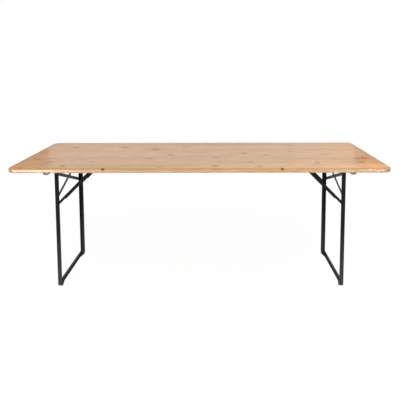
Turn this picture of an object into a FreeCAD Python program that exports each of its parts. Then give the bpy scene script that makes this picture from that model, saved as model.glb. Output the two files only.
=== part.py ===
import FreeCAD, Part
import math
import os
import Sketcher

# Folding trestle table: a glued softwood top on two folding angle-steel leg frames.
# Millimetres. X runs along the table, Y from front to back, Z up from the floor.
# The left end is modelled and mirrored to the right, the front of it to the rear.

# Driving sizes
SIZES = [
    ("top_length", 2200, "length of the top"),
    ("top_width", 800, "width of the top"),
    ("top_thickness", 27, "thickness of the planed top"),
    ("table_height", 780, "floor to the upper face of the top"),
    ("corner_radius", 45, "rounding of the top's corners seen from above"),
    ("edge_radius", 9, "rounding of the top's upper and lower arris"),
    ("leg_setback", 220, "end of the top to the outer face of a leg frame"),
    ("frame_width", 490, "leg frame over its two uprights"),
    ("angle_width", 25, "flange of the leg frame's angle steel"),
    ("angle_thickness", 3, "wall of the leg frame's angle steel"),
    ("bend_radius", 18, "outer radius of the leg frame's lower corners"),
    ("foot_flange", 13, "floor flange of the foot, narrowed between its bends"),
    ("foot_taper", 60, "length over which that flange narrows"),
    ("gauge_line", 16, "heel of the angle to the pivots in its flange"),
    ("hinge_drop", 18, "underside of the top to the hinge axis"),
    ("pivot_drop", 212, "hinge axis to the strut pivot below it"),
    ("strut_reach", 211, "strut pivot to the cross rod, measured along the table"),
    ("strut_width", 20, "flange of the strut's angle steel"),
    ("strut_thickness", 3, "wall of the strut's angle steel"),
    ("strut_gauge", 12, "heel of the strut's angle to its pivots"),
    ("strut_cope", 57, "length of the flange cut away beside the strut pivot"),
    ("rod_cope", 14, "length of the flange cut away beside the cross rod"),
    ("rod_radius", 5, "cross rod between the two struts"),
    ("tenon_radius", 3.5, "turned-down ends of the cross rod"),
    ("pivot_radius", 4, "hinge pins and strut pivots"),
    ("pivot_head_radius", 7, "heads of the hinge pins and strut pivots"),
    ("pivot_head_height", 2.5, "height of those heads"),
    ("brace_width", 20, "flat bars of the cross brace"),
    ("brace_thickness", 3, "thickness of those bars"),
    ("brace_top_drop", 26, "hinge axis to the upper fixings of the cross brace"),
    ("brace_rise", 158, "upper fixings of the brace to the lower ones"),
    ("brace_gauge", 15, "side of the frame to those fixings"),
    ("brace_end", 7, "such a fixing to the end of its bar"),
    ("bar_corner", 6, "rounding of the corners of those bars"),
    ("crank_flat", 33, "half length of the raised middle of the cranked bar"),
    ("crank_run", 10, "length over which that bar is cranked"),
    ("batten_width", 36, "wooden batten across the top's underside"),
    ("batten_thickness", 28, "depth of the batten"),
    ("batten_inset", 70, "front or back edge of the top to the batten's end"),
    ("batten_radius", 10, "rounding of the batten's lower edges"),
    ("bracket_length", 76, "hinge bracket along the table"),
    ("bracket_width", 34, "screwed leaf of the hinge bracket"),
    ("plate_thickness", 3, "sheet steel of the brackets and catches"),
    ("ear_radius", 10, "ear of the hinge bracket around the pin"),
    ("bracket_lip", 9, "depth of the bracket's leaf at its inner end"),
    ("end_flat", 1, "flat between the two roundings of an ear, lug or strut end"),
    ("catch_width", 44, "catch hook across the table"),
    ("catch_base", 42, "screwed leaf of the catch"),
    ("catch_lip", 13, "length of the lip under the cross rod"),
    ("catch_slope", 21, "slope of that lip in degrees"),
    ("keeper_width", 30, "spring keeper across the table"),
    ("keeper_thickness", 1.5, "spring steel of the keeper"),
    ("keeper_base", 40, "screwed end of the keeper"),
    ("keeper_run", 20, "sloping part of the keeper"),
    ("keeper_shoulder", 4, "bend at the head of the keeper's nose"),
    ("keeper_nose", 3, "half height of the nose in front of the rod"),
    ("keeper_tab", 10, "finger tab under the nose"),
    ("stop_gap", 0.5, "leg frame to the batten that stops it"),
    ("side_gap", 0.3, "between flat pieces that turn on each other"),
    ("strut_gap", 0.5, "strut to the flange of the upright"),
    ("catch_gap", 0.4, "cross rod to the catch and keeper around it"),
    ("running_gap", 0.08, "radial play of a turning pin"),
    ("tight_gap", 0.03, "radial play of a fixed pin"),
]
BOARD_COUNT = 7
FULL_TURN = 360

X_AXIS = FreeCAD.Vector(1, 0, 0)
Y_AXIS = FreeCAD.Vector(0, 1, 0)
Z_AXIS = FreeCAD.Vector(0, 0, 1)


class Size:
    """A size worked out from the sheet: its number, and the formula the document keeps."""

    def __init__(self, number, formula):
        self.number = float(number)
        self.formula = formula

    def __add__(self, other):
        other = as_size(other)
        return Size(self.number + other.number, f"({self.formula} + {other.formula})")

    def __sub__(self, other):
        other = as_size(other)
        return Size(self.number - other.number, f"({self.formula} - {other.formula})")

    def __mul__(self, other):
        other = as_size(other)
        return Size(self.number * other.number, f"({self.formula} * {other.formula})")

    def __truediv__(self, other):
        other = as_size(other)
        return Size(self.number / other.number, f"({self.formula} / {other.formula})")

    def __neg__(self):
        return Size(-self.number, f"(-1 * {self.formula})")


def as_size(value):
    return value if isinstance(value, Size) else Size(value, str(value))


def sine(angle):
    return Size(math.sin(math.radians(angle.number)), f"sin({angle.formula} * 1 deg)")


def cosine(angle):
    return Size(math.cos(math.radians(angle.number)), f"cos({angle.formula} * 1 deg)")


def slope_angle(rise, run):
    degrees = math.degrees(math.atan2(rise.number, run.number))
    return Size(degrees, f"atan2({rise.formula}; {run.formula})")


def slope_length(rise, run):
    length = math.hypot(rise.number, run.number)
    return Size(length, f"hypot({rise.formula}; {run.formula})")


doc = FreeCAD.newDocument("trestle_table")
sheet = doc.addObject("Spreadsheet::Sheet", "sizes")
given = {}
for row, (size_name, value, note) in enumerate(SIZES, start=1):
    sheet.set(f"A{row}", size_name)
    sheet.set(f"B{row}", str(value))
    sheet.set(f"C{row}", note)
    sheet.setAlias(f"B{row}", size_name)
    given[size_name] = Size(value, f"sizes.{size_name}")
doc.recompute()

pieces = []
zero = Size(0, "0")


def bind(thing, setting, size):
    thing.setExpression(setting, size.formula)


def place(thing, x=zero, y=zero, z=zero, axis=None, angle=zero):
    """Put a thing at x, y, z, turned about an axis through its own origin."""
    where = FreeCAD.Vector(x.number, y.number, z.number)
    thing.Placement = FreeCAD.Placement(where, FreeCAD.Rotation(axis or Z_AXIS, angle.number))
    for letter, size in zip("xyz", (x, y, z)):
        bind(thing, f"Placement.Base.{letter}", size)
    if axis:
        bind(thing, "Placement.Rotation.Angle", angle)


def keep(thing, label):
    thing.Label = label
    pieces.append(thing)
    return thing


def new_body(name):
    return doc.addObject("PartDesign::Body", name)


def sketch_on(body, role):
    sketch = body.newObject("Sketcher::SketchObject", "sketch")
    plane = [part for part in body.Origin.OriginFeatures if part.Role == role][0]
    sketch.AttachmentSupport = [(plane, "")]
    sketch.MapMode = "FlatFace"
    return sketch


def fix_point(sketch, line, end, x, y):
    for kind, size in (("DistanceX", x), ("DistanceY", y)):
        rule = Sketcher.Constraint(kind, -1, 1, line, end, size.number)
        number = sketch.addConstraint(rule)
        bind(sketch, f"Constraints[{number}]", size)


def draw_outline(sketch, corners, closed=True):
    """Straight lines from corner to corner, each corner held by its two sizes."""
    corners = [(as_size(x), as_size(y)) for x, y in corners]
    points = [FreeCAD.Vector(x.number, y.number, 0) for x, y in corners]
    ends = points[1:] + points[:1] if closed else points[1:]
    for start, end in zip(points, ends):
        sketch.addGeometry(Part.LineSegment(start, end), False)
    last = len(ends) - 1
    for line in range(last):
        sketch.addConstraint(Sketcher.Constraint("Coincident", line, 2, line + 1, 1))
    if closed:
        sketch.addConstraint(Sketcher.Constraint("Coincident", last, 2, 0, 1))
    for line, (x, y) in enumerate(corners[:len(ends)]):
        fix_point(sketch, line, 1, x, y)
    if not closed:
        fix_point(sketch, last, 2, *corners[-1])


def draw_circles(sketch, centres, radius):
    for x, y in centres:
        middle = FreeCAD.Vector(x.number, y.number, 0)
        number = sketch.addGeometry(Part.Circle(middle, Z_AXIS, radius.number), False)
        fix_point(sketch, number, 3, x, y)
        rule = sketch.addConstraint(Sketcher.Constraint("Radius", number, radius.number))
        bind(sketch, f"Constraints[{rule}]", radius)


def pad(body, role, corners, depth, both_ways=False, backwards=False):
    """A plate with the given outline, grown from one of the body's own planes."""
    sketch = sketch_on(body, role)
    draw_outline(sketch, corners)
    grown = body.newObject("PartDesign::Pad", "pad")
    grown.Profile = sketch
    grown.SideType = "Symmetric" if both_ways else "One side"
    grown.Reversed = backwards
    bind(grown, "Length", depth)


def pocket(body, sketch, name):
    """What the sketch encloses, cut right through the body square to the sketch."""
    opening = body.newObject("PartDesign::Pocket", name)
    opening.Profile = sketch
    opening.Type = "ThroughAll"
    opening.SideType = "Symmetric"


def drill(body, role, centres, radius):
    sketch = sketch_on(body, role)
    draw_circles(sketch, centres, radius)
    pocket(body, sketch, "hole")


def cut_through(body, role, corners):
    sketch = sketch_on(body, role)
    draw_outline(sketch, corners)
    pocket(body, sketch, "cut")


def round_edges(body, radius, wanted):
    """Round every edge of the body so far that the test picks out."""
    doc.recompute()
    base = body.Tip
    names = [f"Edge{i}" for i, edge in enumerate(base.Shape.Edges, start=1) if wanted(edge)]
    rounding = body.newObject("PartDesign::Fillet", "rounding")
    rounding.Base = (base, names)
    bind(rounding, "Radius", radius)


def near(value, size):
    return abs(value - size.number) < 0.01


def runs_along(edge, direction):
    if len(edge.Vertexes) != 2:
        return False
    span = edge.Vertexes[1].Point - edge.Vertexes[0].Point
    return span.cross(direction).Length < 0.001 * span.Length


def at_corner(first, second, corners):
    """Picks straight edges whose two coordinates are those of one of the corners."""
    def wanted(edge):
        direction = [axis for axis in (X_AXIS, Y_AXIS, Z_AXIS)
                     if axis.dot(first) == 0 and axis.dot(second) == 0][0]
        if not runs_along(edge, direction):
            return False
        middle = edge.CenterOfMass
        return any(near(middle.dot(first), as_size(a)) and near(middle.dot(second), as_size(b))
                   for a, b in corners)
    return wanted


def turn(name, profile):
    """A turned piece: its half outline spun about an axis that runs across the table."""
    body = new_body(name)
    sketch = sketch_on(body, "XY_Plane")
    draw_outline(sketch, profile)
    spun = body.newObject("PartDesign::Revolution", "turned")
    spun.Profile = sketch
    spun.ReferenceAxis = (sketch, ["V_Axis"])
    spun.Angle = FULL_TURN
    return body


def headed_pin(name, start, end):
    """A pivot across the table: a round shank between two chamfered heads."""
    shank = given["pivot_radius"]
    head = given["pivot_head_radius"]
    height = given["pivot_head_height"]
    rim = head - height
    return turn(name, [(zero, start - height), (rim, start - height), (head, start), (shank, start),
                       (shank, end), (head, end), (rim, end + height), (zero, end + height)])


def strip(name, path, thickness, width):
    """A bent strip: its middle line given a thickness, then drawn out across the table."""
    line = doc.addObject("Sketcher::SketchObject", f"{name}_line")
    draw_outline(line, path, closed=False)
    line.Placement = FreeCAD.Placement(FreeCAD.Vector(), FreeCAD.Rotation(X_AXIS, 90))
    ribbon = doc.addObject("Part::Offset2D", f"{name}_ribbon")
    ribbon.Source = line
    ribbon.Join = "Arc"
    ribbon.Fill = True
    bind(ribbon, "Value", thickness / 2)
    bent = doc.addObject("Part::Extrusion", name)
    bent.Base = ribbon
    bent.DirMode = "Custom"
    bent.Dir = Y_AXIS
    bent.Solid = True
    bent.Symmetric = True
    bind(bent, "LengthFwd", width)
    return bent


def mirrored(source, name, normal):
    other = doc.addObject("Part::Mirroring", name)
    other.Source = source
    other.Normal = normal
    return other


def grouped(name, members):
    group = doc.addObject("Part::Compound", name)
    group.Links = members
    return group


# Places shared by several pieces
top_length = given["top_length"]
top_width = given["top_width"]
plate = given["plate_thickness"]
wall = given["angle_thickness"]
angle_width = given["angle_width"]
gauge = given["gauge_line"]
tight = given["tight_gap"]
side_gap = given["side_gap"]
underside = given["table_height"] - given["top_thickness"]
hinge_height = underside - given["hinge_drop"]
pivot_height = hinge_height - given["pivot_drop"]
frame_face = given["leg_setback"] - top_length / 2
half_frame = given["frame_width"] / 2
rod_place = frame_face + gauge + given["strut_reach"]

# Glued top: a panel rounded all round and parted along its glue lines
panel = new_body("panel")
half_length = top_length / 2
half_width = top_width / 2
pad(panel, "XY_Plane", [(-half_length, -half_width), (half_length, -half_width),
                        (half_length, half_width), (-half_length, half_width)],
    given["top_thickness"])
panel_corners = [(x, y) for x in (-half_length, half_length) for y in (-half_width, half_width)]
round_edges(panel, given["corner_radius"], at_corner(X_AXIS, Y_AXIS, panel_corners))


def on_rim(edge):
    low = edge.BoundBox.ZMin
    return edge.BoundBox.ZLength < 0.01 and (near(low, zero) or near(low, given["top_thickness"]))


round_edges(panel, given["edge_radius"], on_rim)
place(panel, z=underside)
board_width = top_width / BOARD_COUNT
for number in range(BOARD_COUNT):
    stave = doc.addObject("Part::Box", f"stave_{number}")
    bind(stave, "Length", top_length)
    bind(stave, "Width", board_width)
    bind(stave, "Height", given["top_thickness"])
    place(stave, -half_length, board_width * number - half_width, underside)
    board = doc.addObject("Part::Common", f"board_{number}")
    board.Base = panel
    board.Tool = stave
    keep(board, f"top_board_{number + 1}")

# Batten under each end of the top: it holds the boards flat and stops the leg frame
batten = new_body("batten")
batten_outer = -(given["stop_gap"] + given["batten_width"])
batten_inner = -given["stop_gap"]
batten_foot = underside - given["batten_thickness"]
pad(batten, "XZ_Plane", [(batten_outer, batten_foot), (batten_inner, batten_foot),
                         (batten_inner, underside), (batten_outer, underside)],
    top_width - given["batten_inset"] * 2, both_ways=True)
batten_edges = [(batten_outer, batten_foot), (batten_inner, batten_foot)]
round_edges(batten, given["batten_radius"], at_corner(X_AXIS, Z_AXIS, batten_edges))
place(batten, frame_face)
keep(batten, "left_batten")

# Hinge bracket: sheet steel bent square, one leaf screwed up, the other hanging as an ear
bracket = new_body("bracket")
bracket_start = gauge - given["ear_radius"]
bracket_end = bracket_start + given["bracket_length"]
bracket_face = -(half_frame + side_gap)
ear_foot = -(given["hinge_drop"] + given["ear_radius"])
ear_end = gauge + given["ear_radius"]
pad(bracket, "XZ_Plane", [(bracket_start, 0), (bracket_start, ear_foot), (ear_end, ear_foot),
                          (bracket_end, -given["bracket_lip"]), (bracket_end, 0)], plate)
pad(bracket, "XY_Plane", [(bracket_start, 0), (bracket_end, 0),
                          (bracket_end, -given["bracket_width"]),
                          (bracket_start, -given["bracket_width"])], plate, backwards=True)
end_flat = given["end_flat"]
ear_corners = [(bracket_start, ear_foot), (ear_end, ear_foot)]
round_edges(bracket, given["ear_radius"] - end_flat / 2, at_corner(X_AXIS, Z_AXIS, ear_corners))
round_edges(bracket, plate, at_corner(Y_AXIS, Z_AXIS, [(0, 0)]))
leaf_corners = [(x, -given["bracket_width"]) for x in (bracket_start, bracket_end)]
round_edges(bracket, plate * 2, at_corner(X_AXIS, Y_AXIS, leaf_corners))
drill(bracket, "XZ_Plane", [(gauge, -given["hinge_drop"])], given["pivot_radius"] + tight)
place(bracket, frame_face, bracket_face, underside)
left_front_bracket = keep(bracket, "left_front_hinge_bracket")

# Hinge pins: riveted into the ears of the brackets, turning in the flanges of the uprights
flange_inside = -(half_frame - wall)
hinge_pin = headed_pin("hinge_pin", bracket_face - plate, flange_inside + side_gap)
place(hinge_pin, frame_face + gauge, z=hinge_height)
rear_hinge_pin = mirrored(hinge_pin, "rear_hinge_pin", Y_AXIS)
keep(grouped("left_hinge_pins", [hinge_pin, rear_hinge_pin]), "left_hinge_pins")

# Leg frame: one length of angle steel bent to a U, its web notched at the lower corners
frame = new_body("frame")
lug_top = hinge_height + angle_width - gauge
web_inside = half_frame - angle_width
flange_line = half_frame - wall
pad(frame, "YZ_Plane", [(-half_frame, lug_top), (-half_frame, 0), (half_frame, 0), (half_frame, lug_top),
                        (flange_line, lug_top), (flange_line, wall), (-flange_line, wall),
                        (-flange_line, lug_top)], angle_width)
pad(frame, "YZ_Plane", [(-half_frame, hinge_height), (-half_frame, 0), (half_frame, 0),
                        (half_frame, hinge_height), (web_inside, hinge_height), (web_inside, angle_width),
                        (-web_inside, angle_width), (-web_inside, hinge_height)], wall)
lug_start = gauge * 2 - angle_width
above_lug = lug_top + angle_width
cut_through(frame, "XZ_Plane", [(-wall, hinge_height), (lug_start, hinge_height), (lug_start, above_lug),
                                (-wall, above_lug)])
outer_bends = [(-half_frame, 0), (half_frame, 0)]
inner_bends = [(-flange_line, wall), (flange_line, wall)]
round_edges(frame, given["bend_radius"], at_corner(Y_AXIS, Z_AXIS, outer_bends))
round_edges(frame, given["bend_radius"] - wall, at_corner(Y_AXIS, Z_AXIS, inner_bends))
foot_bend = half_frame - given["bend_radius"]
foot_straight = foot_bend - given["foot_taper"]
past_toe = angle_width + wall
cut_through(frame, "XY_Plane", [(angle_width, -foot_bend), (given["foot_flange"], -foot_straight),
                                (given["foot_flange"], foot_straight), (angle_width, foot_bend),
                                (past_toe, foot_bend), (past_toe, -foot_bend)])
lug_corners = [(lug_start, lug_top), (angle_width, lug_top)]
round_edges(frame, angle_width - gauge - end_flat / 2, at_corner(X_AXIS, Z_AXIS, lug_corners))
drill(frame, "XZ_Plane", [(gauge, hinge_height)], given["pivot_radius"] + given["running_gap"])
drill(frame, "XZ_Plane", [(gauge, pivot_height)], given["pivot_radius"] + tight)
place(frame, frame_face)
keep(frame, "left_leg_frame")

# Cross brace: two flat bars riveted inside the web, the second cranked over the first
brace_side = half_frame - given["brace_gauge"]
brace_half = slope_length(brace_side, given["brace_rise"] / 2)
brace_angle = slope_angle(given["brace_rise"] / 2, brace_side)
brace_middle = hinge_height - given["brace_top_drop"] - given["brace_rise"] / 2
bar_end = brace_half + given["brace_end"]
half_bar = given["brace_width"] / 2
bar_wall = given["brace_thickness"]
bar_corners = [(y, z) for y in (-bar_end, bar_end) for z in (-half_bar, half_bar)]


def finish_bar(bar, axis):
    round_edges(bar, given["bar_corner"], at_corner(Y_AXIS, Z_AXIS, bar_corners))
    place(bar, frame_face + wall, z=brace_middle, axis=axis, angle=brace_angle)
    return bar


flat_bar = new_body("flat_bar")
pad(flat_bar, "YZ_Plane", [(-bar_end, -half_bar), (bar_end, -half_bar), (bar_end, half_bar),
                           (-bar_end, half_bar)], bar_wall)
keep(finish_bar(flat_bar, X_AXIS), "left_brace_flat_bar")
cranked_bar = new_body("cranked_bar")
crank_flat = given["crank_flat"]
crank_foot = crank_flat + given["crank_run"]
pad(cranked_bar, "XY_Plane", [(0, -bar_end), (bar_wall, -bar_end), (bar_wall, -crank_foot),
                              (bar_wall * 2, -crank_flat), (bar_wall * 2, crank_flat),
                              (bar_wall, crank_foot), (bar_wall, bar_end), (0, bar_end), (0, crank_foot),
                              (bar_wall, crank_flat), (bar_wall, -crank_flat), (0, -crank_foot)],
    given["brace_width"], both_ways=True)
keep(finish_bar(cranked_bar, -X_AXIS), "left_brace_cranked_bar")

# Strut: angle steel from the upright up to the cross rod, one flange coped at both ends
strut = new_body("strut")
strut_length = slope_length(given["pivot_drop"], given["strut_reach"])
strut_angle = slope_angle(given["pivot_drop"], given["strut_reach"])
tongue = given["strut_width"] - given["strut_gauge"]
heel = -given["strut_gauge"]
strut_wall = given["strut_thickness"]
strut_cope = given["strut_cope"]
strut_end = strut_length + tongue
heel_end = strut_length - given["rod_cope"]
pad(strut, "XZ_Plane", [(-tongue, tongue), (-tongue, -tongue), (strut_cope, -tongue), (strut_cope, heel),
                        (heel_end, heel), (heel_end, -tongue), (strut_end, -tongue), (strut_end, tongue)],
    strut_wall, backwards=True)
pad(strut, "XZ_Plane", [(strut_cope, heel), (heel_end, heel), (heel_end, heel + strut_wall),
                        (strut_cope, heel + strut_wall)], given["strut_width"], backwards=True)
strut_corners = [(x, z) for x in (-tongue, strut_end) for z in (-tongue, tongue)]
round_edges(strut, tongue - end_flat / 2, at_corner(X_AXIS, Z_AXIS, strut_corners))
drill(strut, "XZ_Plane", [(zero, zero)], given["pivot_radius"] + given["running_gap"])
drill(strut, "XZ_Plane", [(strut_length, zero)], given["tenon_radius"] + tight)
strut_face = flange_inside + given["strut_gap"]
place(strut, frame_face + gauge, strut_face, pivot_height, axis=-Y_AXIS, angle=strut_angle)
left_front_strut = keep(strut, "left_front_strut")

# Strut pivot: riveted into the flange of the upright, the strut turns on it
pivot_end = strut_face + strut_wall + side_gap
strut_pivot = headed_pin("strut_pivot", -half_frame, pivot_end)
place(strut_pivot, frame_face + gauge, z=pivot_height)
rear_strut_pivot = mirrored(strut_pivot, "rear_strut_pivot", Y_AXIS)
keep(grouped("left_strut_pivots", [strut_pivot, rear_strut_pivot]), "left_strut_pivots")

# Cross rod: round bar between the struts, its turned-down ends peened in their holes
rod_side = strut_face + strut_wall
tenon = given["tenon_radius"]
rod_radius = given["rod_radius"]
rod = turn("rod", [(0, strut_face), (tenon, strut_face), (tenon, rod_side), (rod_radius, rod_side),
                   (rod_radius, -rod_side), (tenon, -rod_side), (tenon, -strut_face), (0, -strut_face)])
place(rod, rod_place, z=hinge_height)
keep(rod, "left_strut_rod")

# Catch: a hook under the top; the rod lies on its sloping lip and leaves towards the middle
lip_offset = rod_radius + given["catch_gap"] + plate / 2
lip_slope = given["catch_slope"]
hook_back = rod_place - lip_offset
hook_foot = hinge_height - lip_offset * (as_size(1) - sine(lip_slope)) / cosine(lip_slope)
leaf_line = underside - plate / 2
catch = strip("catch", [(hook_back - given["catch_base"], leaf_line), (hook_back, leaf_line),
                        (hook_back, hook_foot), (hook_back + given["catch_lip"] * cosine(lip_slope),
                                                 hook_foot - given["catch_lip"] * sine(lip_slope))],
              plate, given["catch_width"])
keep(catch, "left_catch")

# Keeper: a leaf of spring steel whose nose snaps up behind the rod, with a tab to press
spring = given["keeper_thickness"]
spring_line = underside - spring / 2
nose = given["keeper_nose"]
nose_back = rod_place + rod_radius + given["catch_gap"] + spring / 2
slope_foot = nose_back + given["keeper_shoulder"]
slope_head = slope_foot + given["keeper_run"]
keeper_tab = given["keeper_tab"]
keeper = strip("keeper", [(slope_head + given["keeper_base"], spring_line), (slope_head, spring_line),
                          (slope_foot, hinge_height + nose + given["keeper_shoulder"]),
                          (nose_back, hinge_height + nose), (nose_back, hinge_height - nose),
                          (nose_back + keeper_tab, hinge_height - nose - keeper_tab)],
               spring, given["keeper_width"])
keep(keeper, "left_keeper")

# Rear pieces of the left end, then the whole right end, as mirror images
for front_piece in (left_front_bracket, left_front_strut):
    rear_label = front_piece.Label.replace("front", "rear")
    keep(mirrored(front_piece, rear_label, Y_AXIS), rear_label)
for left_piece in [piece for piece in pieces if piece.Label.startswith("left_")]:
    right_label = left_piece.Label.replace("left", "right")
    keep(mirrored(left_piece, right_label, X_AXIS), right_label)

# Check the whole document, then write each piece
doc.recompute()
for thing in doc.Objects:
    if "Invalid" in thing.State or "Error" in thing.State:
        raise RuntimeError(f"{thing.Label} failed: {thing.State}")
for piece in pieces:
    if piece.Shape.isNull() or not piece.Shape.isValid() or not piece.Shape.Solids:
        raise RuntimeError(f"{piece.Label} has no valid solid")
os.makedirs("parts", exist_ok=True)
for piece in pieces:
    piece.Shape.exportStep(f"parts/{piece.Label}.step")
    print(piece.Label, len(piece.Shape.Solids), round(piece.Shape.Volume, 1))
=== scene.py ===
import math

import bmesh
import bpy
from mathutils import Euler, Matrix, Vector


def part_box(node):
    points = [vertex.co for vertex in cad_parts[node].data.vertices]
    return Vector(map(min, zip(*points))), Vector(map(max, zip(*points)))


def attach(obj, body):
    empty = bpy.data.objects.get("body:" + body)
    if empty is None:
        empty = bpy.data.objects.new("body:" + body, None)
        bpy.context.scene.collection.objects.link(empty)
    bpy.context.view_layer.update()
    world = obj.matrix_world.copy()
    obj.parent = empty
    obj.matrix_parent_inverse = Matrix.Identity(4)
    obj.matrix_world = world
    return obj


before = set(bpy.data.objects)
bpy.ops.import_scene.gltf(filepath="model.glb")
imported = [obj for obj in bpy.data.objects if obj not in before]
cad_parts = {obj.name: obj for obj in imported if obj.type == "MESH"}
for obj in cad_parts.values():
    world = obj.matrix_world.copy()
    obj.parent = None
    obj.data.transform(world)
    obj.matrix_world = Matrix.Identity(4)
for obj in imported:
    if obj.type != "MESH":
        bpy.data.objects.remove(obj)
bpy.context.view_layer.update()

# The top: seven softwood boards, planed, glued edge to edge, rounded all round and lacquered.
# Each board is sawn from its own part of a log, so its year rings, tone and knots are its own;
# the short ends show the rings across the grain, where the wood drinks more lacquer.
PALE_WOOD = (0.605, 0.355, 0.168, 1)
LATE_WOOD = (0.440, 0.210, 0.080, 1)
HEART_WOOD = (0.535, 0.288, 0.124, 1)
FLAME_WOOD = (0.625, 0.290, 0.112, 1)
KNOT_WOOD = (0.300, 0.130, 0.020, 1)
KNOT_BARK = (0.150, 0.055, 0.008, 1)
END_WOOD = (0.210, 0.130, 0.075, 1)
GREYER_SIDE = (0.490, 0.330, 0.185, 1)
# Each board from the front: tone, pith beside its middle, pith below its underside,
# and its knots as place along, place across, radius and darkness
BOARDS = [
    (1.00, 0.030, 0.055, [(-1.025, -0.380, 0.010, 0.70), (-0.798, -0.338, 0.013, 0.74),
                          (-0.230, -0.361, 0.012, 0.45), (0.090, -0.332, 0.013, 0.70),
                          (0.352, -0.334, 0.013, 0.50)]),
    (1.02, -0.018, 0.030, [(-0.909, -0.230, 0.015, 0.45), (-0.660, -0.232, 0.013, 0.35),
                           (0.301, -0.239, 0.013, 0.35), (0.702, -0.265, 0.014, 0.40),
                           (0.976, -0.249, 0.013, 0.55)]),
    (0.97, 0.042, 0.075, [(-1.011, -0.159, 0.018, 0.40), (-0.942, -0.131, 0.012, 0.35),
                          (-0.320, -0.138, 0.015, 0.45), (0.097, -0.098, 0.014, 0.40),
                          (1.020, -0.135, 0.018, 0.85), (0.975, -0.158, 0.011, 0.60)]),
    (1.02, -0.006, 0.024, [(-1.043, 0.036, 0.020, 0.30), (-0.199, -0.027, 0.014, 0.40),
                           (0.280, 0.016, 0.017, 0.81), (0.419, -0.032, 0.014, 0.45),
                           (0.803, -0.035, 0.013, 0.35)]),
    (0.98, 0.025, 0.040, [(-0.319, 0.143, 0.019, 0.95), (0.600, 0.085, 0.014, 0.35)]),
    (1.01, -0.038, 0.065, [(-0.884, 0.218, 0.018, 0.55), (-0.546, 0.226, 0.019, 0.60),
                           (-0.122, 0.223, 0.015, 0.40), (0.620, 0.272, 0.016, 0.45)]),
    (0.98, 0.010, 0.035, [(0.068, 0.337, 0.016, 0.40), (0.259, 0.359, 0.016, 0.40)]),
]
BOARD_SEED = 13.7
# Each unevenness: the size of its lumps in metres along, across and through, its seed and its fineness
KNOT_LUMPS = ((0.020, 0.012, 0.020), 0.0, 1.0)
PITH_BENDS = ((0.55, 3.0, 3.0), 3.1, 1.0)
RIPPLES = ((0.16, 0.010, 0.010), 7.7, 2.0)
STREAKS = ((0.70, 0.016, 0.016), 17.0, 3.0)
FIBRES = ((0.030, 0.0006, 0.0006), 23.0, 2.0)
FLECKS = ((0.10, 0.014, 0.014), 31.0, 3.0)
FLAMES = ((0.15, 0.030, 0.030), 41.0, 2.0)
# The lumps of the bands are counted in rings across the log and in metres along it
BANDS = ((5.0, 0.9, 1.0), 11.0, 2.0)
SEED_SHARES = (1.0, 0.37, 0.61)
# Year rings: width, ripple and wandering of the pith in metres, and the log's slope
RING_WIDTH = 0.0042
RING_RIPPLE = 0.004
PITH_WANDER = 0.05
LOG_LEAN = 0.022
# The part of each year in which late wood sets in and ends, and how strongly it shows and stands out
LATE_START = (0.25, 0.90)
LATE_END = (0.92, 1.0)
LATE_SHARE = 0.45
LATE_RELIEF = 0.6
FIBRE_RELIEF = 0.00001
# The low and high spots of each unevenness between which the wood changes, and how much it changes
HEART_SPAN = (0.36, 0.66)
HEART_SHARE = 0.8
MOST_SPOTS = (0.25, 0.75)
NEARLY_ALL = (0.2, 0.8)
STREAK_SHADES = (0.88, 1.09)
FIBRE_SHADES = (0.95, 1.05)
FLECK_SHADES = (0.91, 1.07)
FLAME_SPOTS = (0.44, 0.60)
FLAME_REACH = 0.28
FLAME_SHARE = 0.65
# Knots that come out on the front arris, as place along and radius
EDGE_KNOTS = [(-0.548, 0.0095), (0.473, 0.0090)]
EDGE_KNOT_SIDE = -0.40
EDGE_KNOT_HEIGHT = 0.776
EDGE_KNOT_DARKNESS = 1.0
# By how much a distance from a knot's middle is multiplied along, across and through the board
KNOT_STRETCH = (0.85, 1.0, 0.12)
EDGE_STRETCH = (1.30, 0.55, 1.25)
KNOT_HEIGHT = 0.77
KNOT_WOBBLE = 0.008
KNOT_BULGE = 0.012
# Parts of a knot and of the wood round it, in knot radii from its middle
FAR_FROM_KNOTS = 9.0
KNOT_BARK_REACH = (0.60, 0.98)
KNOT_RIM = (0.92, 1.10)
KNOT_STAIN_REACH = (0.9, 3.0)
KNOT_STAIN = 0.7
KNOT_SHADOW_END = (3.0, 4.0)
BULGE_REACH = (0.5, 4.5)
KNOT_RINGS = 9
KNOT_RING_SPAN = (0.1, 0.9)
KNOT_RING_SHADES = (0.78, 1.22)
# A knot darker than this is dead and black, and keeps this share of its brightness
DEAD_KNOT_DARKNESS = (0.95, 1.0)
DEAD_KNOT = 0.40
# How far a rounded surface has turned sideways, endways or upward, where 1 is fully and -1 is down
SIDE_TURN = (0.6, 1.0)
END_TURN = (0.15, 0.70)
ARRIS_TURN = (0.2, 0.8)
BARE_END_TURN = (0.30, 0.80)
UNDERSIDE_TURN = (-0.95, -0.75)
# How strongly the greyer long sides and the stained ends show, and how glossy the lacquer is
SIDE_SHARE = 0.40
BOARD_END_STAIN = 0.50
END_BAND = 0.050
END_BAND_STAIN = 0.28
LACQUER_SHEEN = 0.08
LACQUER_ROUGHNESS = (0.52, 0.62)
LACQUER_FILM = 0.09
FILM_ROUGHNESS = 0.16
SIDE_ROUGHNESS = 0.42
BARE_ROUGHNESS = 1.0


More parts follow.
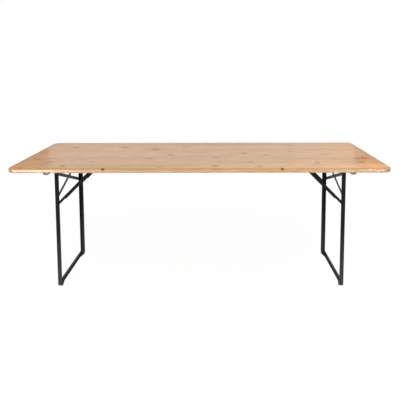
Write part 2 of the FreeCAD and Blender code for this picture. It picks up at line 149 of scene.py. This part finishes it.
class Nodes:
    """The nodes of one material or of the room, each added by a call that gives back its output."""

    def __init__(self, tree):
        self.tree = tree

    def feed(self, socket, value):
        if isinstance(value, bpy.types.NodeSocket):
            self.tree.links.new(value, socket)
        else:
            socket.default_value = value

    def node(self, kind, inputs, **settings):
        made = self.tree.nodes.new(kind)
        for setting, value in settings.items():
            setattr(made, setting, value)
        for key, value in inputs.items():
            self.feed(made.inputs[key], value)
        return made

    def split(self, vector):
        return self.node("ShaderNodeSeparateXYZ", {0: vector}).outputs

    def joined(self, x, y, z):
        return self.node("ShaderNodeCombineXYZ", {0: x, 1: y, 2: z}).outputs[0]

    def math(self, operation, first, second=0.0):
        return self.node("ShaderNodeMath", {0: first, 1: second}, operation=operation).outputs[0]

    def vector(self, operation, first, second):
        made = self.node("ShaderNodeVectorMath", {0: first, 1: second}, operation=operation)
        return made.outputs[0]

    def distance(self, first, second):
        apart = self.node("ShaderNodeVectorMath", {0: first, 1: second}, operation="DISTANCE")
        return apart.outputs["Value"]

    def scaled(self, colour, share):
        made = self.node("ShaderNodeVectorMath", {0: colour, "Scale": share}, operation="SCALE")
        return made.outputs[0]

    def ease(self, value, span, levels=(0.0, 1.0)):
        """A smooth step from the first level to the second as the value crosses the span."""
        inputs = {"Value": value, "From Min": span[0], "From Max": span[1],
                  "To Min": levels[0], "To Max": levels[1]}
        return self.node("ShaderNodeMapRange", inputs, interpolation_type="SMOOTHSTEP").outputs[0]

    def noise(self, vector, unevenness, seed=0.0):
        """Soft noise of the given unevenness, different for each seed."""
        size, own_seed, detail = unevenness
        stretch = tuple(1 / length for length in size)
        shift = tuple((seed + own_seed) * share for share in SEED_SHARES)
        spot = self.vector("ADD", self.vector("MULTIPLY", vector, stretch), shift)
        inputs = {"Vector": spot, "Scale": 1.0, "Detail": detail}
        return self.node("ShaderNodeTexNoise", inputs).outputs["Fac"]

    def mix(self, share, first, second):
        # The node has sockets of the same name for other kinds of value; 6, 7 and 2 are those for colours
        inputs = {"Factor": share, 6: first, 7: second}
        return self.node("ShaderNodeMix", inputs, data_type="RGBA").outputs[2]


class Finish(Nodes):
    """One material, and the pieces that wear it."""

    def __init__(self, name):
        self.material = bpy.data.materials.new(name)
        self.material.use_nodes = True
        super().__init__(self.material.node_tree)
        self.shader = self.tree.nodes["Principled BSDF"]

    def place(self):
        return self.node("ShaderNodeTexCoord", {}).outputs["Object"]

    def facing(self):
        return self.split(self.node("ShaderNodeTexCoord", {}).outputs["Normal"])

    def surface(self, socket, value):
        self.feed(self.shader.inputs[socket], value)

    def relief(self, height, depth):
        bump = self.node("ShaderNodeBump", {"Height": height, "Distance": depth})
        self.surface("Normal", bump.outputs[0])

    def dress(self, *names):
        for name in names:
            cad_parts[name].material_slots[0].material = self.material


def pine_finish(name, seed, tone, pith, half_length, end_wood, end_stain,
                knots=(), edge_knots=(), across=False):
    """Lacquered softwood, sawn along a log whose pith lies at the given side and height."""
    pine = Finish(name)
    place = pine.place()
    endways, sideways, upward = pine.facing()
    if across:
        turned = pine.split(place)
        place = pine.joined(turned[1], turned[0], turned[2])
        endways, sideways = sideways, endways
    ends = pine.math("ABSOLUTE", endways)
    sides = pine.math("ABSOLUTE", sideways)
    x, y, z = pine.split(place)
    from_middle = pine.math("ABSOLUTE", x)
    # Distance to the nearest knot in knot radii, and how dark the knot is at this spot
    wobble = pine.math("SUBTRACT", pine.noise(place, KNOT_LUMPS, seed), 0.5)
    spot = pine.vector("ADD", place, pine.scaled(pine.joined(wobble, wobble, wobble), KNOT_WOBBLE))
    through_face = pine.vector("MULTIPLY", spot, KNOT_STRETCH)
    through_edge = pine.vector("MULTIPLY", spot, EDGE_STRETCH)
    branches = []
    for knot_x, knot_y, radius, darkness in knots:
        middle = Vector((knot_x, knot_y, KNOT_HEIGHT)) * Vector(KNOT_STRETCH)
        branches.append((through_face, middle, radius, darkness))
    for knot_x, radius in edge_knots:
        middle = Vector((knot_x, EDGE_KNOT_SIDE, EDGE_KNOT_HEIGHT)) * Vector(EDGE_STRETCH)
        branches.append((through_edge, middle, radius, EDGE_KNOT_DARKNESS))
    near = FAR_FROM_KNOTS
    dark = 0.0
    for stretched, middle, radius, darkness in branches:
        away = pine.math("DIVIDE", pine.distance(stretched, middle), radius)
        near = pine.math("MINIMUM", away, near)
        dark = pine.math("MAXIMUM", pine.ease(away, KNOT_SHADOW_END, (darkness, 0.0)), dark)
    # Year rings round a pith that wanders, pushed aside by the knots
    wander = pine.math("MULTIPLY", pine.noise(place, PITH_BENDS, seed), PITH_WANDER)
    beside = pine.math("SUBTRACT", pine.math("SUBTRACT", y, wander), pith[0] - PITH_WANDER / 2)
    above = pine.math("SUBTRACT", z, pith[1])
    above = pine.math("ADD", above, pine.math("MULTIPLY", x, LOG_LEAN))
    reach = pine.distance(pine.joined(beside, above, 0.0), (0, 0, 0))
    ripple = pine.math("MULTIPLY", pine.noise(place, RIPPLES, seed), RING_RIPPLE)
    reach = pine.math("ADD", reach, ripple)
    reach = pine.math("ADD", reach, pine.ease(near, BULGE_REACH, (KNOT_BULGE, 0.0)))
    rings = pine.math("DIVIDE", reach, RING_WIDTH)
    year = pine.math("FRACT", rings)
    late = pine.math("MULTIPLY", pine.ease(year, LATE_START), pine.ease(year, LATE_END, (1.0, 0.0)))
    bands = pine.noise(pine.joined(rings, x, 0.0), BANDS, seed)
    wood = pine.mix(pine.ease(bands, HEART_SPAN, (0.0, HEART_SHARE)), PALE_WOOD, HEART_WOOD)
    wood = pine.mix(pine.math("MULTIPLY", late, LATE_SHARE), wood, LATE_WOOD)
    # Streaks, fibres and flecks along the grain
    streaks = pine.noise(place, STREAKS, seed)
    fibres = pine.noise(place, FIBRES, seed)
    flecks = pine.noise(place, FLECKS, seed)
    shade = pine.math("MULTIPLY", pine.ease(streaks, MOST_SPOTS, STREAK_SHADES), tone)
    shade = pine.math("MULTIPLY", shade, pine.ease(fibres, NEARLY_ALL, FIBRE_SHADES))
    shade = pine.math("MULTIPLY", shade, pine.ease(flecks, MOST_SPOTS, FLECK_SHADES))
    wood = pine.scaled(wood, shade)
    # Redder streaks towards the ends
    flames = pine.ease(pine.noise(place, FLAMES, seed), FLAME_SPOTS)
    flame_zone = (half_length - FLAME_REACH, half_length - END_BAND)
    outer = pine.ease(from_middle, flame_zone, (0.0, FLAME_SHARE))
    wood = pine.mix(pine.math("MULTIPLY", flames, outer), wood, FLAME_WOOD)
    # The long sides are mixed a little greyer
    wood = pine.mix(pine.ease(sides, SIDE_TURN, (0.0, SIDE_SHARE)), wood, GREYER_SIDE)
    # Knots with a dark rim and a stained ring of wood round them
    stain = pine.math("MULTIPLY", pine.ease(near, KNOT_STAIN_REACH, (KNOT_STAIN, 0.0)), dark)
    wood = pine.mix(stain, wood, LATE_WOOD)
    core = pine.mix(pine.ease(near, KNOT_BARK_REACH), KNOT_WOOD, KNOT_BARK)
    knot_year = pine.math("PINGPONG", pine.math("MULTIPLY", near, KNOT_RINGS), 1.0)
    core = pine.scaled(core, pine.ease(knot_year, KNOT_RING_SPAN, KNOT_RING_SHADES))
    core = pine.scaled(core, pine.ease(dark, DEAD_KNOT_DARKNESS, (1.0, DEAD_KNOT)))
    inside = pine.math("MULTIPLY", pine.ease(near, KNOT_RIM, (1.0, 0.0)), dark)
    wood = pine.mix(inside, wood, core)
    # End grain drinks more lacquer, and so does the wood close to it
    soaked = pine.ease(ends, END_TURN, (0.0, end_stain))
    band = pine.ease(from_middle, (half_length - END_BAND, half_length), (0.0, END_BAND_STAIN))
    pine.surface("Base Color", pine.mix(pine.math("MAXIMUM", soaked, band), wood, end_wood))
    # The lacquer stands as a film on the upper face, is thinner on the long sides,
    # and has sunk into the end grain and the underside
    rough = pine.ease(streaks, NEARLY_ALL, LACQUER_ROUGHNESS)
    rough = pine.ease(sides, ARRIS_TURN, (rough, SIDE_ROUGHNESS))
    rough = pine.ease(ends, BARE_END_TURN, (rough, BARE_ROUGHNESS))
    rough = pine.ease(upward, UNDERSIDE_TURN, (BARE_ROUGHNESS, rough))
    pine.surface("Roughness", rough)
    pine.surface("Coat Weight", pine.ease(upward, ARRIS_TURN, (0.0, LACQUER_FILM)))
    pine.surface("Coat Roughness", FILM_ROUGHNESS)
    pine.surface("Specular IOR Level", LACQUER_SHEEN)
    grain = pine.math("ADD", pine.math("MULTIPLY", late, LATE_RELIEF), fibres)
    pine.relief(grain, FIBRE_RELIEF)
    return pine


for number, (tone, pith_side, pith_depth, knots) in enumerate(BOARDS, start=1):
    board = f"top_board_{number}"
    low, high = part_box(board)
    pith = ((low.y + high.y) / 2 + pith_side, low.z - pith_depth)
    edge_knots = EDGE_KNOTS if number == 1 else ()
    pine = pine_finish(f"pine_{board}", BOARD_SEED * number, tone, pith, high.x,
                       END_WOOD, BOARD_END_STAIN, knots, edge_knots)
    pine.dress(board)

# Battens: one planed softwood strip across the underside above each leg frame, its ends rounded
# and its lower edges broken, so that the panel stays flat. Their grain runs across the table,
# and their bare end grain has greyed.
SIDES = ("left", "right")
BATTEN_SEED = 3.3
BATTEN_TONE = 0.88
BATTEN_PITH = 0.05
BATTEN_END_STAIN = 0.75
GREYED_END = (0.425, 0.380, 0.345, 1)
for number, side in enumerate(SIDES):
    batten = f"{side}_batten"
    low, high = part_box(batten)
    pith = ((low.x + high.x) / 2, low.z - BATTEN_PITH)
    pine = pine_finish(f"pine_{batten}", BATTEN_SEED + number, BATTEN_TONE, pith, high.y,
                       GREYED_END, BATTEN_END_STAIN, across=True)
    pine.dress(batten)

# Batten screws: zinc-plated pan heads with a cross recess, driven up through each batten
# into the boards, one for each of the five middle boards.
SCREW_RADIUS = 0.0044
SCREW_HEIGHT = 0.0026
SCREW_SIDES = 16
# The head from its rim to its middle, as shares of its radius and of its height
SCREW_PROFILE = [(1.00, 0.00), (1.00, 0.35), (0.93, 0.66), (0.76, 0.88), (0.55, 0.97), (0.20, 1.00)]
RECESS_REACH = 0.60
RECESS_DEPTH = 0.0015
ZINC = (0.62, 0.62, 0.60)
ZINC_CLOUDS = ((0.004, 0.004, 0.004), 2.0, 2.0)
ZINC_SHADES = (0.75, 1.05)
ZINC_ROUGHNESS = (0.28, 0.45)
CLOUD_SPAN = (0.3, 0.7)
zinc = Finish("bright_zinc")
zinc_cloud = zinc.noise(zinc.place(), ZINC_CLOUDS)
zinc.surface("Base Color", zinc.scaled(ZINC, zinc.ease(zinc_cloud, CLOUD_SPAN, ZINC_SHADES)))
zinc.surface("Metallic", 1.0)
zinc.surface("Roughness", zinc.ease(zinc_cloud, CLOUD_SPAN, ZINC_ROUGHNESS))


def loose_piece(name, shape, finish, body):
    """Turns a shape into one piece that wears a finish and moves with a body."""
    bmesh.ops.recalc_face_normals(shape, faces=shape.faces)
    mesh = bpy.data.meshes.new(name)
    shape.to_mesh(mesh)
    shape.free()
    mesh.materials.append(finish.material)
    piece = bpy.data.objects.new(name, mesh)
    bpy.context.scene.collection.objects.link(piece)
    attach(piece, body)
    return piece


def screw_heads(name, spots, under):
    """Screw heads that hang below the given height at each spot, as one piece of the top."""
    shape = bmesh.new()
    quarter = SCREW_SIDES // 4
    for spot_x, spot_y, turn in spots:
        rings = []
        for out, down in SCREW_PROFILE:
            ring = []
            for side in range(SCREW_SIDES):
                angle = turn + side * 2 * math.pi / SCREW_SIDES
                in_recess = side % quarter == 0 and out < RECESS_REACH
                sink = RECESS_DEPTH if in_recess else 0.0
                ring.append(shape.verts.new((spot_x + SCREW_RADIUS * out * math.cos(angle),
                                             spot_y + SCREW_RADIUS * out * math.sin(angle),
                                             under - SCREW_HEIGHT * down + sink)))
            rings.append(ring)
        for outer, inner in zip(rings, rings[1:]):
            for side in range(SCREW_SIDES):
                after = (side + 1) % SCREW_SIDES
                shape.faces.new((outer[side], inner[side], inner[after], outer[after]))
        middle = shape.verts.new((spot_x, spot_y, under - SCREW_HEIGHT + RECESS_DEPTH))
        for side in range(SCREW_SIDES):
            shape.faces.new((rings[-1][side], middle, rings[-1][(side + 1) % SCREW_SIDES]))
        shape.faces.new(rings[0])
    loose_piece(name, shape, zinc, "table_top")


SCREWED_BOARDS = range(2, 7)
BATTEN_SCREW_TURN = 0.7
for side in SIDES:
    low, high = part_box(f"{side}_batten")
    spots = []
    for number in SCREWED_BOARDS:
        board_low, board_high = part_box(f"top_board_{number}")
        board_middle = (board_low.y + board_high.y) / 2
        spots.append(((low.x + high.x) / 2, board_middle, number * BATTEN_SCREW_TURN))
    screw_heads(f"{side}_batten_screws", spots, low.z)

# Hinge brackets: folded sheet steel under the top, one flange flat on the wood with three
# screws, the other hanging down beside the leg with the hole for its pin. Satin black paint.
BLACK_PAINT = (0.007, 0.007, 0.008)
BARE_STEEL = (0.23, 0.22, 0.21, 1)
# Painted light: a grey mixed into the paint low down on the legs for the light the white floor throws on
# them
FLOOR_LIGHT_PAINT = (0.055, 0.054, 0.052, 1)
PEEL = ((0.0012, 0.0012, 0.0012), 0.0, 2.0)
PAINT_CLOUDS = ((0.05, 0.05, 0.09), 5.0, 3.0)
SCUFFS = ((0.016, 0.016, 0.004), 9.0, 4.0)
PAINT_SHADES = (0.8, 1.3)
PAINT_SHEEN = 0.14
PAINT_PEEL = 0.00002
GLOSS_CHANGE = 0.06
# How high the painted floor light reaches up the legs, and how strongly it lightens them at the floor
FLOOR_LIGHT_HEIGHT = 0.45
FLOOR_LIGHT_SHARE = 0.75
SCUFF_SPOTS = (0.60, 0.72)
SCUFF_SHARE = 0.4
SCUFF_ROUGHENING = 0.1
EDGE_BREAK = 0.0006
EDGE_STEPS = 2
SHARP_ANGLE = 40
WELD_REACH = 0.00001


def painted_steel(name, seed, rough, scuff_height=0.0):
    """Satin black paint with a little orange peel; given a scuff height, rubbed to bare steel up to it
    and painted lighter towards the floor, as painted light from the white floor.
    """
    steel = Finish(name)
    place = steel.place()
    cloud = steel.noise(place, PAINT_CLOUDS, seed)
    paint = steel.scaled(BLACK_PAINT, steel.ease(cloud, CLOUD_SPAN, PAINT_SHADES))
    dull = steel.ease(cloud, CLOUD_SPAN, (rough - GLOSS_CHANGE, rough + GLOSS_CHANGE))
    if scuff_height:
        height = steel.split(place)[2]
        low_down = steel.ease(height, (0.0, scuff_height), (SCUFF_SHARE, 0.0))
        rubbed = steel.ease(steel.noise(place, SCUFFS, seed), SCUFF_SPOTS)
        rubbed = steel.math("MULTIPLY", rubbed, low_down)
        # Painted light: the paint is mixed lighter towards the floor, where the white floor lights it
        painted_floor_light = steel.ease(height, (0.0, FLOOR_LIGHT_HEIGHT), (FLOOR_LIGHT_SHARE, 0.0))
        paint = steel.mix(painted_floor_light, paint, FLOOR_LIGHT_PAINT)
        paint = steel.mix(rubbed, paint, BARE_STEEL)
        dull = steel.math("ADD", dull, steel.math("MULTIPLY", rubbed, SCUFF_ROUGHENING))
    steel.surface("Base Color", paint)
    steel.surface("Roughness", dull)
    steel.surface("Specular IOR Level", PAINT_SHEEN)
    steel.relief(steel.noise(place, PEEL, seed), PAINT_PEEL)
    return steel


def break_edges(*names):
    """Rounds off the sharp edges of sheet and bar, as rolling and paint leave them."""
    for name in names:
        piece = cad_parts[name]
        weld = piece.modifiers.new("weld", "WELD")
        weld.merge_threshold = WELD_REACH
        bevel = piece.modifiers.new("broken_edges", "BEVEL")
        bevel.width = EDGE_BREAK
        bevel.segments = EDGE_STEPS
        bevel.limit_method = "ANGLE"
        bevel.angle_limit = math.radians(SHARP_ANGLE)
        piece.modifiers.new("even_shading", "WEIGHTED_NORMAL")


ENDS = [f"{side}_{end}" for side in SIDES for end in ("front", "rear")]
BRACKETS = [f"{end}_hinge_bracket" for end in ENDS]
BRACKET_SCREWS = 3
BRACKET_SCREW_TURN = 1.1
BRACKET_WALL = 0.003
painted_steel("bracket_paint", seed=1.0, rough=0.40).dress(*BRACKETS)
break_edges(*BRACKETS)
for end in ENDS:
    low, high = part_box(f"{end}_hinge_bracket")
    pitch = (high.x - low.x) / BRACKET_SCREWS
    # The hanging leaf takes its own thickness from the side nearer the middle of the table
    outward = math.copysign(1, low.y)
    row = (low.y + high.y + outward * BRACKET_WALL) / 2
    spots = [(low.x + pitch * (number + 0.5), row, number * BRACKET_SCREW_TURN)
             for number in range(BRACKET_SCREWS)]
    screw_heads(f"{end}_bracket_screws", spots, high.z - BRACKET_WALL)

# Hinge pins: turned steel pins with a head at each end, riveted into the ears of the brackets.
# The uprights of the leg frames turn on them. Black paint.
painted_steel("pin_paint", seed=2.0, rough=0.34).dress("left_hinge_pins", "right_hinge_pins")

# Catches: a strip of sheet steel bent to a hook, held under the top by two screws each.
# It takes the cross rod of the struts while the legs stand open. Black paint.
OUTWARD = {"left": -1, "right": 1}
CATCH_LEAF = 0.042
CATCH_WALL = 0.003
CATCH_SPACING = 0.022
CATCH_SCREW_TURNS = (0.4, 1.0)
painted_steel("catch_paint", seed=3.0, rough=0.40).dress("left_catch", "right_catch")
break_edges("left_catch", "right_catch")


def screw_pair(place_x, spacing, turns):
    """The spots of two screws, one on each side of the table's middle line."""
    return [(place_x, -spacing / 2, turns[0]), (place_x, spacing / 2, turns[1])]


for side, outward in OUTWARD.items():
    low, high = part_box(f"{side}_catch")
    outer_end = low.x if outward < 0 else high.x
    spots = screw_pair(outer_end - outward * CATCH_LEAF / 2, CATCH_SPACING, CATCH_SCREW_TURNS)
    screw_heads(f"{side}_catch_screws", spots, high.z - CATCH_WALL)

# Keepers: a strip of blued spring steel that snaps over the rod and holds it in its catch,
# held to the top by two screws at its flat end.
BLUED_STEEL = (0.105, 0.110, 0.130)
BLUED_CLOUDS = ((0.020, 0.006, 0.006), 4.0, 3.0)
BLUED_SHADES = (0.7, 1.2)
BLUED_ROUGHNESS = (0.26, 0.38)
KEEPER_END = 0.040
KEEPER_WALL = 0.0015
KEEPER_SPACING = 0.016
KEEPER_SCREW_TURNS = (0.2, 0.9)
blued = Finish("blued_spring_steel")
blued_cloud = blued.noise(blued.place(), BLUED_CLOUDS)
blued.surface("Base Color", blued.scaled(BLUED_STEEL, blued.ease(blued_cloud, CLOUD_SPAN, BLUED_SHADES)))
blued.surface("Metallic", 1.0)
blued.surface("Roughness", blued.ease(blued_cloud, CLOUD_SPAN, BLUED_ROUGHNESS))
blued.dress("left_keeper", "right_keeper")
for side, outward in OUTWARD.items():
    low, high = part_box(f"{side}_keeper")
    inner_end = high.x if outward < 0 else low.x
    spots = screw_pair(inner_end + outward * KEEPER_END / 2, KEEPER_SPACING, KEEPER_SCREW_TURNS)
    screw_heads(f"{side}_keeper_screws", spots, high.z - KEEPER_WALL)

# Leg frames: one length of rolled angle steel, its web notched at the lower corners and bent
# to a U, so that uprights and foot bar are one piece. Black paint, scuffed near the floor, and
# painted lighter towards the floor, a painted stand-in for the light the white floor throws on it.
LEG_FRAMES = ("left_leg_frame", "right_leg_frame")
SCUFF_HEIGHT = 0.035
painted_steel("leg_paint", seed=6.0, rough=0.38, scuff_height=SCUFF_HEIGHT).dress(*LEG_FRAMES)
break_edges(*LEG_FRAMES)

# Cross braces: two flat steel bars in the upper part of each leg frame, riveted inside its web.
# One is straight, and the other is cranked over it where they cross. Black paint.
BARS = [f"{side}_brace_{kind}_bar" for side in SIDES for kind in ("flat", "cranked")]
painted_steel("brace_paint", seed=8.0, rough=0.40).dress(*BARS)
break_edges(*BARS)

# Brace rivets: steel rivets with domed heads, through web and bar at both ends of each bar
# and through both bars where they cross, painted with the frame.
RIVET_RADIUS = 0.0055
RIVET_HEIGHT = 0.0024
RIVET_SIDES = 16
RIVET_RINGS = 4
FIXING_SIDE = 0.230
FIXING_HEIGHTS = (0.551, 0.709)
CROSSING_HEIGHT = 0.630
rivet_paint = painted_steel("rivet_paint", seed=9.0, rough=0.36)


def rivet_heads(name, body, spots):
    """Domed heads that stand on the given spots, out along the table or in, as one piece of a body."""
    shape = bmesh.new()
    turns = [side * 2 * math.pi / RIVET_SIDES for side in range(RIVET_SIDES)]
    for spot_x, spot_y, spot_z, way in spots:
        rings = []
        for level in range(RIVET_RINGS):
            rise = level / RIVET_RINGS * math.pi / 2
            out = RIVET_RADIUS * math.cos(rise)
            up = spot_x + way * RIVET_HEIGHT * math.sin(rise)
            ring = []
            for turn in turns:
                rim = (up, spot_y + out * math.cos(turn), spot_z + out * math.sin(turn))
                ring.append(shape.verts.new(rim))
            rings.append(ring)
        crown = shape.verts.new((spot_x + way * RIVET_HEIGHT, spot_y, spot_z))
        for lower, upper in zip(rings, rings[1:]):
            for side in range(RIVET_SIDES):
                after = (side + 1) % RIVET_SIDES
                shape.faces.new((lower[side], lower[after], upper[after], upper[side]))
        for side in range(RIVET_SIDES):
            shape.faces.new((rings[-1][side], rings[-1][(side + 1) % RIVET_SIDES], crown))
        shape.faces.new(rings[0])
    for face in shape.faces:
        face.smooth = len(face.verts) < RIVET_SIDES
    heads = loose_piece(name, shape, rivet_paint, body)


for side, outward in OUTWARD.items():
    frame_low, frame_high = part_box(f"{side}_leg_frame")
    flat_low, flat_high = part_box(f"{side}_brace_flat_bar")
    cranked_low, cranked_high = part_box(f"{side}_brace_cranked_bar")
    web_face = frame_low.x if outward < 0 else frame_high.x
    bar_back = flat_low.x if outward < 0 else flat_high.x
    bar_face = flat_high.x if outward < 0 else flat_low.x
    crank_face = cranked_high.x if outward < 0 else cranked_low.x
    spots = [(bar_back, 0.0, CROSSING_HEIGHT, outward), (crank_face, 0.0, CROSSING_HEIGHT, -outward)]
    for fixing_side in (-FIXING_SIDE, FIXING_SIDE):
        for fixing_height in FIXING_HEIGHTS:
            spots.append((web_face, fixing_side, fixing_height, outward))
            spots.append((bar_face, fixing_side, fixing_height, -outward))
    rivet_heads(f"{side}_brace_rivets", f"{side}_leg", spots)

# Strut pivots: turned steel rivets set in the flanges of the uprights, two for each frame.
# The struts swing on them. Painted with the frame.
rivet_paint.dress("left_strut_pivots", "right_strut_pivots")

# Struts: light angle steel, coped to a flat at both ends, two for each frame. A round steel rod
# with turned ends joins their upper ends and drops into the catch. Black paint.
STRUTS = [f"{end}_strut" for end in ENDS]
painted_steel("strut_paint", seed=11.0, rough=0.40).dress(*STRUTS)
break_edges(*STRUTS)
painted_steel("rod_paint", seed=12.0, rough=0.34).dress("left_strut_rod", "right_strut_rod")

# Floor: a plain white sheet that takes the table's soft shadow.
# Seen or mirrored it is white, and what light it sends back to the table is that of matt paper.
FLOOR_HALF = 30.0
FLOOR_CORNERS = [(-FLOOR_HALF, -FLOOR_HALF, 0), (FLOOR_HALF, -FLOOR_HALF, 0),
                 (FLOOR_HALF, FLOOR_HALF, 0), (-FLOOR_HALF, FLOOR_HALF, 0)]
FLOOR_WHITE = (0.85, 0.85, 0.85, 1)
PURE_WHITE = (1, 1, 1, 1)
PAPER_GLOW = 0.89
PAPER_WHITE = 1.05


def seen_or_mirrored(nodes):
    """One where the eye sees it, straight, in a shine or through glass, and nought elsewhere."""
    rays = nodes.node("ShaderNodeLightPath", {}).outputs
    mirrored = nodes.math("MAXIMUM", rays["Is Glossy Ray"], rays["Is Transmission Ray"])
    return nodes.math("MAXIMUM", rays["Is Camera Ray"], mirrored)


floor_mesh = bpy.data.meshes.new("floor")
floor_mesh.from_pydata(FLOOR_CORNERS, [], [(0, 1, 2, 3)])
floor = bpy.data.objects.new("floor", floor_mesh)
bpy.context.scene.collection.objects.link(floor)
paper = Finish("white_floor")
paper.tree.nodes.remove(paper.shader)
matt = paper.node("ShaderNodeBsdfDiffuse", {"Color": FLOOR_WHITE}).outputs[0]
glow = paper.node("ShaderNodeEmission", {"Color": PURE_WHITE, "Strength": PAPER_WHITE}).outputs[0]
glowing = paper.math("MULTIPLY", seen_or_mirrored(paper), PAPER_GLOW)
sheet = paper.node("ShaderNodeMixShader", {0: glowing, 1: matt, 2: glow}).outputs[0]
paper.feed(paper.tree.nodes["Material Output"].inputs["Surface"], sheet)
floor_mesh.materials.append(paper.material)

# Light: a white room, one broad soft lamp from the front and a softbox beyond each end.
# Bright cards show only in the lacquer: a backdrop behind the table in the whole top, and five
# cards in front of it, lower than the top, in the front board with its rounded edge.
ROOM_LIGHT = 0.40
world = bpy.data.worlds.new("white_room")
bpy.context.scene.world = world
world.use_nodes = True
room = Nodes(world.node_tree)
walls = room.tree.nodes["Background"]
room.feed(walls.inputs["Color"], PURE_WHITE)
room.feed(walls.inputs["Strength"], room.ease(seen_or_mirrored(room), (0.0, 1.0), (ROOM_LIGHT, 1.0)))

FRONT_FROM = (0.04, -0.86, 0.49)
FRONT_STRENGTH = 1.70
FRONT_SPREAD = 60
front_lamp = bpy.data.lights.new("front", "SUN")
front_lamp.energy = FRONT_STRENGTH
front_lamp.angle = math.radians(FRONT_SPREAD)
front = bpy.data.objects.new("front", front_lamp)
front.rotation_euler = Vector(FRONT_FROM).to_track_quat("Z", "Y").to_euler()
bpy.context.scene.collection.objects.link(front)


def light_panel(name, middle, aim, width, height, power):
    """A rectangle of light, turned to the point it aims at and not itself in the picture."""
    lamp = bpy.data.lights.new(name, "AREA")
    lamp.shape = "RECTANGLE"
    lamp.size = width
    lamp.size_y = height
    lamp.energy = power
    panel = bpy.data.objects.new(name, lamp)
    panel.location = middle
    panel.rotation_euler = (Vector(middle) - Vector(aim)).to_track_quat("Z", "Y").to_euler()
    panel.visible_camera = False
    bpy.context.scene.collection.objects.link(panel)
    return panel


SOFTBOX_SIZE = 0.8
# Each softbox: its middle, the point it aims at and its power in watts
SOFTBOXES = {
    "left_softbox": ((-1.7, -1.1, 1.75), (-0.95, 0.0, 0.78), 5.4),
    "right_softbox": ((1.7, -0.35, 2.0), (0.95, 0.0, 0.78), 8.6),
}
for name, (middle, aim, power) in SOFTBOXES.items():
    light_panel(name, middle, aim, SOFTBOX_SIZE, SOFTBOX_SIZE, power)

lacquered = bpy.data.collections.new("lacquered_boards")
for number in range(1, len(BOARDS) + 1):
    lacquered.objects.link(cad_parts[f"top_board_{number}"])
front_board = bpy.data.collections.new("front_board")
front_board.objects.link(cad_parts["top_board_1"])

# Each card: its middle, the point it aims at, its width, height and brightness, and where it shows
CARDS = {
    "backdrop": ((-0.08, 2.5, 1.38), (-0.08, 0.0, 1.38), 3.74, 0.38, 3.8, lacquered),
    "left_shine": ((-1.20, -0.90, 0.59), (-1.20, -0.40, 0.59), 0.40, 0.30, 110.0, front_board),
    "left_fade": ((-0.81, -0.90, 0.62), (-0.81, -0.40, 0.62), 0.38, 0.24, 27.0, front_board),
    "middle_shine": ((0.15, -0.90, 0.695), (0.15, -0.40, 0.695), 1.54, 0.15, 26.0, front_board),
    "right_shine": ((1.12, -0.90, 0.695), (1.12, -0.40, 0.695), 0.50, 0.15, 74.0, front_board),
    "floor_shine": ((0.0, -1.0, 0.02), (0.0, -1.0, 0.77), 2.5, 1.4, 10.0, front_board),
}
for name, (middle, aim, width, height, brightness, boards) in CARDS.items():
    power = brightness * math.pi * width * height
    card = light_panel(name, middle, aim, width, height, power)
    card.visible_diffuse = False
    card.light_linking.receiver_collection = boards

# Camera: a little below standing eye height in front of the table, looking slightly down,
# its frame shifted so that the table stands high in the picture.
LENS_MM = 40.315
SENSOR_MM = 36.0
SHIFT = (-0.03475, -0.2501)
CAMERA_PLACE = (0.0919, -2.8959, 1.3962)
LOOK_DOWN = 5.1648
TURN_LEFT = 0.1604
TILT = -0.1284
camera_data = bpy.data.cameras.new("camera")
camera_data.lens = LENS_MM
camera_data.sensor_width = SENSOR_MM
camera_data.shift_x, camera_data.shift_y = SHIFT
camera = bpy.data.objects.new("camera", camera_data)
camera.location = CAMERA_PLACE
heading = Euler((math.radians(90 - LOOK_DOWN), 0, math.radians(TURN_LEFT))).to_matrix()
camera.rotation_euler = (heading @ Matrix.Rotation(math.radians(TILT), 3, "Z")).to_euler()
bpy.context.scene.collection.objects.link(camera)
bpy.context.scene.camera = camera
bpy.context.scene.view_settings.view_transform = "Standard"
